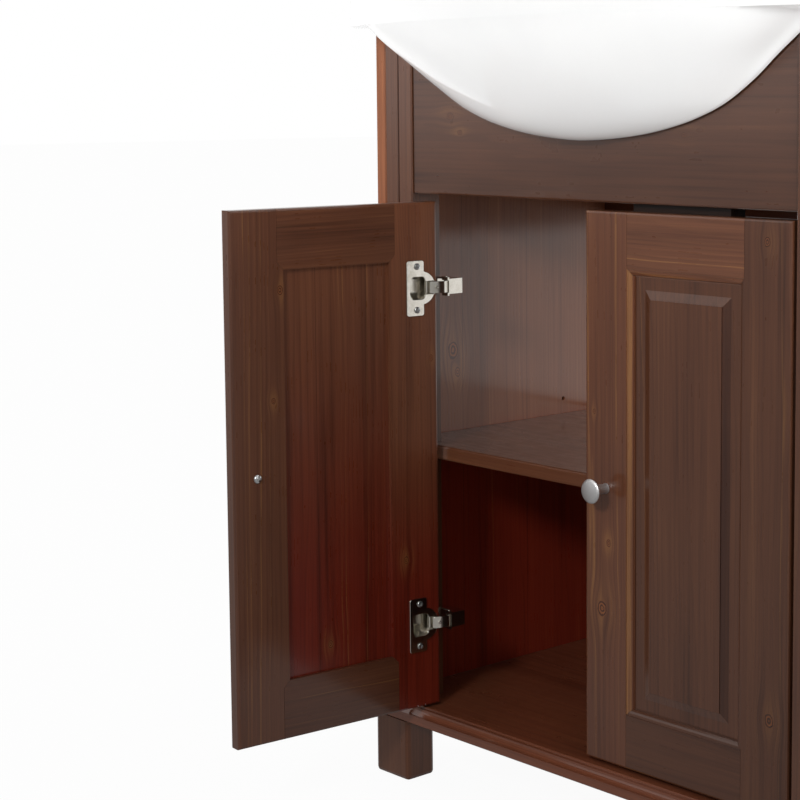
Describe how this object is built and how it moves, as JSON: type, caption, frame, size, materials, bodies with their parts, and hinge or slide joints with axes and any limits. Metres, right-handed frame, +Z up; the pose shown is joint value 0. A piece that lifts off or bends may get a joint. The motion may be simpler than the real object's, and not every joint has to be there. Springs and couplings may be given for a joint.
{
  "type": "vanity unit",
  "caption": "Floor-standing bathroom cabinet in dark stained pine with a bow-fronted ceramic basin, two raised-panel doors on concealed hinges and an inner shelf.",
  "frame": {"origin": "on the floor, under the middle of the unit's box with the left door open as at rest", "axes": "+X to the viewer's right when facing the doors, +Y from the doors to the wall, +Z up"},
  "size_m": [0.69, 0.6254, 0.8933],
  "materials": {
    "stained_pine": "dark brown stain under satin lacquer",
    "nickel": "satin nickel",
    "steel": "zinc-plated steel",
    "ceramic": "white gloss glaze"
  },
  "bodies": {
    "carcass": {"basin": "ceramic", "bottom_board": "stained_pine", "door_stop": "stained_pine", "fascia_board": "stained_pine", "left_back_foot": "stained_pine", "left_front_foot": "stained_pine", "left_lower_arm": "nickel", "left_lower_plate": "nickel", "left_post": "stained_pine", "left_side": "stained_pine", "left_upper_arm": "nickel", "left_upper_plate": "nickel", "lower_back_panel": "stained_pine", "right_back_foot": "stained_pine", "right_front_foot": "stained_pine", "right_lower_arm": "nickel", "right_lower_plate": "nickel", "right_post": "stained_pine", "right_side": "stained_pine", "right_upper_arm": "nickel", "right_upper_plate": "nickel", "shelf": "stained_pine", "shelf_pin_left_back": "steel", "shelf_pin_left_front": "steel", "shelf_pin_right_back": "steel", "shelf_pin_right_front": "steel", "upper_back_rail": "stained_pine"},
    "left_links": {"left_lower_link": "nickel", "left_upper_link": "nickel"},
    "left_door": {"left_bottom_rail": "stained_pine", "left_hinge_stile": "stained_pine", "left_knob": "nickel", "left_knob_screw": "steel", "left_lock_stile": "stained_pine", "left_lower_cup": "nickel", "left_lower_cup_screw_high": "steel", "left_lower_cup_screw_low": "steel", "left_panel": "stained_pine", "left_top_rail": "stained_pine", "left_upper_cup": "nickel", "left_upper_cup_screw_high": "steel", "left_upper_cup_screw_low": "steel"},
    "right_links": {"right_lower_link": "nickel", "right_upper_link": "nickel"},
    "right_door": {"right_bottom_rail": "stained_pine", "right_hinge_stile": "stained_pine", "right_knob": "nickel", "right_knob_screw": "steel", "right_lock_stile": "stained_pine", "right_lower_cup": "nickel", "right_lower_cup_screw_high": "steel", "right_lower_cup_screw_low": "steel", "right_panel": "stained_pine", "right_top_rail": "stained_pine", "right_upper_cup": "nickel", "right_upper_cup_screw_high": "steel", "right_upper_cup_screw_low": "steel"}
  },
  "joints": [
    {"name": "left_link_turn", "type": "hinge", "parent": "carcass", "child": "left_links", "pos_m": [-0.234, -0.03893, 0.3755], "axis": [0, 0, 1], "range_deg": [-42.1, 0.1]},
    {"name": "left_door_turn", "type": "hinge", "parent": "left_links", "child": "left_door", "pos_m": [-0.24234, -0.0603, 0.3755], "axis": [0, 0, 1], "range_deg": [0, 137]},
    {"name": "right_link_turn", "type": "hinge", "parent": "carcass", "child": "right_links", "pos_m": [0.234, -0.03893, 0.3755], "axis": [0, 0, 1], "range_deg": [-42.1, 0.1]},
    {"name": "right_door_turn", "type": "hinge", "parent": "right_links", "child": "right_door", "pos_m": [0.2545, -0.04923, 0.3755], "axis": [0, 0, 1], "range_deg": [0, 137]}
  ],
  "couplings": [
    {"joint": "left_link_turn", "follows": "left_door_turn", "ratio": -0.30657},
    {"joint": "right_link_turn", "follows": "right_door_turn", "ratio": -0.30657}
  ]
}
